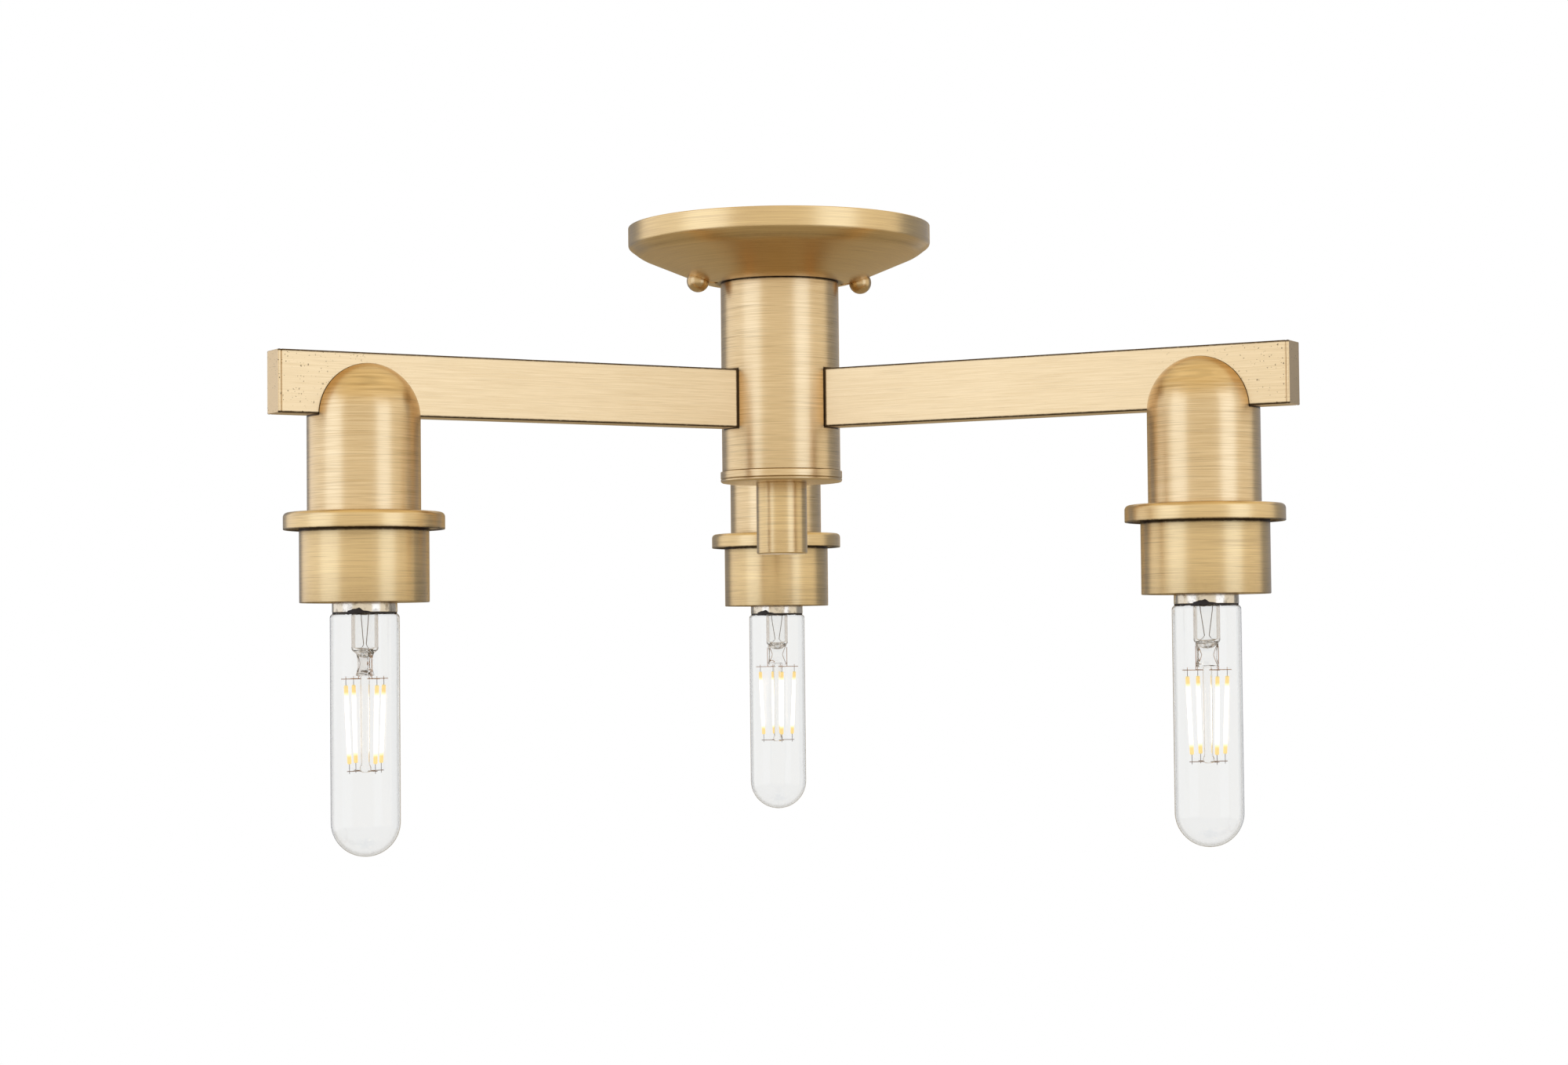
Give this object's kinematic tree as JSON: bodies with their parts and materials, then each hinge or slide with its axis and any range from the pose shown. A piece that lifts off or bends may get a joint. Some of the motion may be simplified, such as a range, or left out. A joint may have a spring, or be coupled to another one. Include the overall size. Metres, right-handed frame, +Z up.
{
  "type": "semi-flush ceiling light",
  "caption": "Semi-flush ceiling light in brushed antique brass: round canopy, column, flat arms with domed lamp holders and clear tubular filament bulbs.",
  "frame": {"origin": "centre of the mounting plate's two box slots, on the ceiling plane", "axes": "+Z points up into the ceiling, +Y runs along the arm that points away from the viewer, +X to the viewer's right"},
  "size_m": [0.474, 0.4194, 0.3105],
  "materials": {
    "brushed_brass": "satin brushed antique brass",
    "plain_brass": "bare turned brass",
    "zinc_steel": "zinc plated",
    "green_steel": "green dyed screw",
    "porcelain": "glazed white",
    "lamp_cap": "bright rolled",
    "black_insulator": "glossy black",
    "clear_glass": "clear",
    "stem_glass": "clear pressed",
    "filament": "yellow phosphor coat",
    "support_wire": "drawn wire",
    "black_wire": "insulated wire",
    "white_wire": "insulated wire",
    "green_wire": "insulated wire",
    "orange_plastic": "moulded"
  },
  "bodies": {
    "bracket": {"mounting_plate": "zinc_steel", "canopy_studs": "zinc_steel", "stud_lock_nuts": "zinc_steel", "ground_screw": "green_steel"},
    "fixture": {"arm_1": "brushed_brass", "arm_2": "brushed_brass", "arm_3": "brushed_brass", "arm_end_caps": "brushed_brass", "black_leads": "black_wire", "canopy": "brushed_brass", "canopy_lock_washer": "plain_brass", "canopy_nipple": "plain_brass", "canopy_nut": "plain_brass", "center_contacts": "plain_brass", "column_bridge": "brushed_brass", "column_top_disc": "brushed_brass", "column_tube": "brushed_brass", "finial_rod": "zinc_steel", "ground_lead": "green_wire", "holder_anchors": "zinc_steel", "holder_nipples": "plain_brass", "holder_nuts": "plain_brass", "holder_ring_1": "brushed_brass", "holder_ring_2": "brushed_brass", "holder_ring_3": "brushed_brass", "holder_tube_1": "brushed_brass", "holder_tube_2": "brushed_brass", "holder_tube_3": "brushed_brass", "lampholder_1": "porcelain", "lampholder_2": "porcelain", "lampholder_3": "porcelain", "screw_shells": "plain_brass", "socket_cup_1": "brushed_brass", "socket_cup_2": "brushed_brass", "socket_cup_3": "brushed_brass", "white_leads": "white_wire", "wire_connectors": "orange_plastic"},
    "ball_nut_left": {"ball_nut_left": "brushed_brass"},
    "ball_nut_right": {"ball_nut_right": "brushed_brass"},
    "base_cap": {"column_base_cap": "brushed_brass"},
    "finial": {"finial_stub": "brushed_brass"},
    "bulb_1_tip": {"bulb_1_tip": "black_insulator"},
    "bulb_1": {"bulb_1_cap": "lamp_cap", "bulb_1_glass": "clear_glass", "bulb_1_stem": "stem_glass", "bulb_1_filaments": "filament", "bulb_1_wires": "support_wire"},
    "bulb_2_tip": {"bulb_2_tip": "black_insulator"},
    "bulb_2": {"bulb_2_cap": "lamp_cap", "bulb_2_glass": "clear_glass", "bulb_2_stem": "stem_glass", "bulb_2_filaments": "filament", "bulb_2_wires": "support_wire"},
    "bulb_3_tip": {"bulb_3_tip": "black_insulator"},
    "bulb_3": {"bulb_3_cap": "lamp_cap", "bulb_3_glass": "clear_glass", "bulb_3_stem": "stem_glass", "bulb_3_filaments": "filament", "bulb_3_wires": "support_wire"}
  },
  "joints": [
    {"name": "fixture_drop", "type": "slide", "parent": "bracket", "child": "fixture", "axis": [0, 0, -1], "range_m": [0, 0.006]},
    {"name": "ball_nut_left_turn", "type": "hinge", "parent": "fixture", "child": "ball_nut_left", "pos_m": [-0.04099, -0.00649, -0.0275], "axis": [0, 0, -1], "range_deg": [0, 2740]},
    {"name": "ball_nut_right_turn", "type": "hinge", "parent": "fixture", "child": "ball_nut_right", "pos_m": [0.04099, 0.00649, -0.0275], "axis": [0, 0, -1], "range_deg": [0, 2740]},
    {"name": "finial_drop", "type": "slide", "parent": "fixture", "child": "base_cap", "axis": [0, 0, -1], "range_m": [0, 0.0127]},
    {"name": "finial_turn", "type": "hinge", "parent": "base_cap", "child": "finial", "pos_m": [0, 0, -0.14], "axis": [0, 0, -1], "range_deg": [0, 3610]},
    {"name": "bulb_1_drop", "type": "slide", "parent": "fixture", "child": "bulb_1_tip", "axis": [0, 0, -1], "range_m": [0, 0.022]},
    {"name": "bulb_1_turn", "type": "hinge", "parent": "bulb_1_tip", "child": "bulb_1", "pos_m": [-0.19503, -0.1126, -0.185], "axis": [0, 0, -1], "range_deg": [0, 2200]},
    {"name": "bulb_2_drop", "type": "slide", "parent": "fixture", "child": "bulb_2_tip", "axis": [0, 0, -1], "range_m": [0, 0.022]},
    {"name": "bulb_2_turn", "type": "hinge", "parent": "bulb_2_tip", "child": "bulb_2", "pos_m": [0.19503, -0.1126, -0.185], "axis": [0, 0, -1], "range_deg": [0, 2200]},
    {"name": "bulb_3_drop", "type": "slide", "parent": "fixture", "child": "bulb_3_tip", "axis": [0, 0, -1], "range_m": [0, 0.022]},
    {"name": "bulb_3_turn", "type": "hinge", "parent": "bulb_3_tip", "child": "bulb_3", "pos_m": [0, 0.2252, -0.185], "axis": [0, 0, -1], "range_deg": [0, 2200]}
  ],
  "couplings": [
    {"joint": "ball_nut_left_turn", "follows": "fixture_drop", "rad_per_m": 7915.8},
    {"joint": "ball_nut_right_turn", "follows": "fixture_drop", "rad_per_m": 7915.8},
    {"joint": "finial_turn", "follows": "finial_drop", "rad_per_m": 4947.4},
    {"joint": "bulb_1_turn", "follows": "bulb_1_drop", "rad_per_m": 1731.4},
    {"joint": "bulb_2_turn", "follows": "bulb_2_drop", "rad_per_m": 1731.4},
    {"joint": "bulb_3_turn", "follows": "bulb_3_drop", "rad_per_m": 1731.4}
  ]
}
